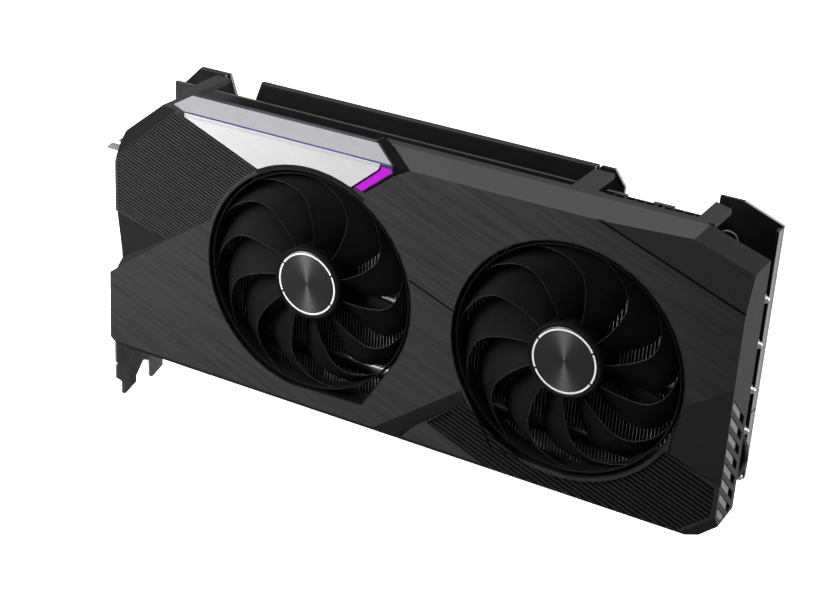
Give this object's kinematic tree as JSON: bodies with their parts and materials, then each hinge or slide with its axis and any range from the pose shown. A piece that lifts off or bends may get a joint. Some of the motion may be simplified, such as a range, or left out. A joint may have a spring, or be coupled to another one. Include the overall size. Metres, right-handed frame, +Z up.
{
  "type": "graphics card",
  "caption": "Long graphics card with a faceted dark shroud, side-by-side axial fans, finned heat-pipe cooler, slot bracket, backplate and power sockets on its top edge.",
  "frame": {"origin": "middle of the long part of the contact edge: its bottom face, half way through the circuit board's thickness", "axes": "+X from the slot bracket to the tail, +Z up from the contact edge to the top edge, the fans face -Y and the backplate faces +Y"},
  "size_m": [0.2997, 0.0524, 0.1535],
  "materials": {
    "shroud": "injection moulded, matt dark grey with a brushed look",
    "fan": "injection moulded, matt black",
    "accent": "brushed and clear anodised",
    "hub_cap": "radially brushed, dark anodised with a bright ring",
    "light": "translucent diffuser, lit magenta",
    "laminate": "black solder mask on glass fibre laminate",
    "fin": "plain mill finish",
    "nickel": "nickel plated",
    "plate": "nickel plated and milled flat",
    "steel": "zinc plated",
    "bracket": "black plated sheet steel",
    "backplate": "dark grey anodised sheet",
    "pad": "soft silicone pad",
    "package": "chip carrier laminate",
    "chip": "moulded epoxy",
    "socket": "moulded nylon",
    "cable": "black sleeve",
    "wire": "grey insulation",
    "ferrite": "sintered ferrite",
    "bronze": "sintered bronze, oil filled",
    "winding": "enamelled copper on a laminated core"
  },
  "bodies": {
    "card": {"accent_plate_front": "accent", "accent_plate_top": "accent", "backplate": "backplate", "circuit_board": "laminate", "cold_plate": "plate", "display_socket_1": "nickel", "display_socket_2": "nickel", "display_socket_3": "nickel", "fan_bearing_left": "bronze", "fan_bearing_right": "bronze", "fan_cable_left": "cable", "fan_cable_right": "cable", "fan_frame_left": "fan", "fan_frame_right": "fan", "fan_stator_left": "winding", "fan_stator_right": "winding", "fin_stack": "fin", "front_heat_pipe_1": "nickel", "front_heat_pipe_2": "nickel", "front_heat_pipe_3": "nickel", "gpu_package": "package", "heat_pipe_1": "nickel", "heat_pipe_2": "nickel", "heat_pipe_3": "nickel", "heat_pipe_4": "nickel", "heat_pipe_5": "nickel", "light_bar": "light", "light_board": "laminate", "light_cable": "wire", "memory_chip_1": "chip", "memory_chip_2": "chip", "memory_chip_3": "chip", "memory_chip_4": "chip", "memory_chip_5": "chip", "memory_chip_6": "chip", "memory_pad_left": "pad", "memory_pad_right": "pad", "memory_pad_top": "pad", "power_socket_1": "socket", "power_socket_2": "socket", "regulator_heat_spreader": "fin", "regulator_pad": "pad", "retention_cross": "steel", "retention_screw_1": "steel", "retention_screw_2": "steel", "retention_screw_3": "steel", "retention_screw_4": "steel", "shroud": "shroud", "slot_bracket": "bracket", "tail_vent_plate": "accent", "video_socket": "nickel"},
    "fan_left": {"fan_rotor_left": "fan", "hub_cap_left": "hub_cap", "rotor_magnet_left": "ferrite", "fan_shaft_left": "steel"},
    "fan_right": {"fan_rotor_right": "fan", "hub_cap_right": "hub_cap", "rotor_magnet_right": "ferrite", "fan_shaft_right": "steel"}
  },
  "joints": [
    {"name": "fan_left_spin", "type": "hinge", "parent": "card", "child": "fan_left", "pos_m": [0.01507, -0.0418, 0.0735], "axis": [0, -1, 0], "continuous": true},
    {"name": "fan_right_spin", "type": "hinge", "parent": "card", "child": "fan_right", "pos_m": [0.13057, -0.0418, 0.0735], "axis": [0, -1, 0], "continuous": true}
  ]
}
